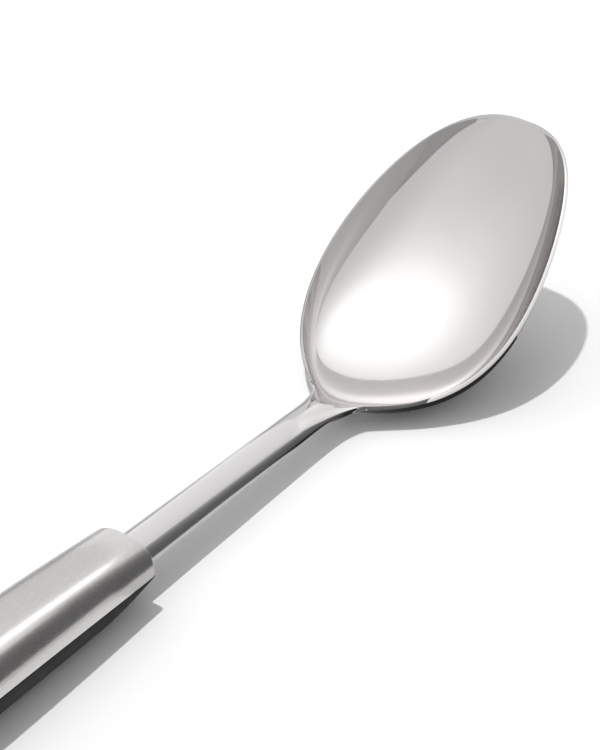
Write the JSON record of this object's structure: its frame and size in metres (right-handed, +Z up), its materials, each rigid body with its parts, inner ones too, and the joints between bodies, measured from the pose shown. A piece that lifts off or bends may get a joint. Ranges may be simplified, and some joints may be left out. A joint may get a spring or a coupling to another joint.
{
  "type": "cooking spoon",
  "caption": "Cooking spoon with a deep pressed steel bowl on an arched shank, a brushed steel sleeve handle with a soft underside grip, and a hang hole in the tail.",
  "frame": {"origin": "centre of the bounding box at the level of the table that the spoon rests on, bowl upwards", "axes": "+X from the tail of the handle to the tip of the bowl, +Y across the spoon, +Z up out of the bowl's open side"},
  "size_m": [0.325, 0.0678, 0.0532],
  "materials": {
    "bowl_and_shank": "mirror-polished stainless steel",
    "steel_sleeve": "fine lengthwise brushing",
    "soft_grip": "matte soft-touch",
    "core_upper": "moulded",
    "core_lower": "moulded",
    "front_seal": "matte",
    "tail_cap": "fine matte texture",
    "tang_rivets": "plain"
  },
  "bodies": {
    "root": {"bowl_and_shank": "bowl_and_shank", "steel_sleeve": "steel_sleeve", "soft_grip": "soft_grip", "core_upper": "core_upper", "core_lower": "core_lower", "front_seal": "front_seal", "tail_cap": "tail_cap", "tang_rivets": "tang_rivets"}
  },
  "joints": []
}
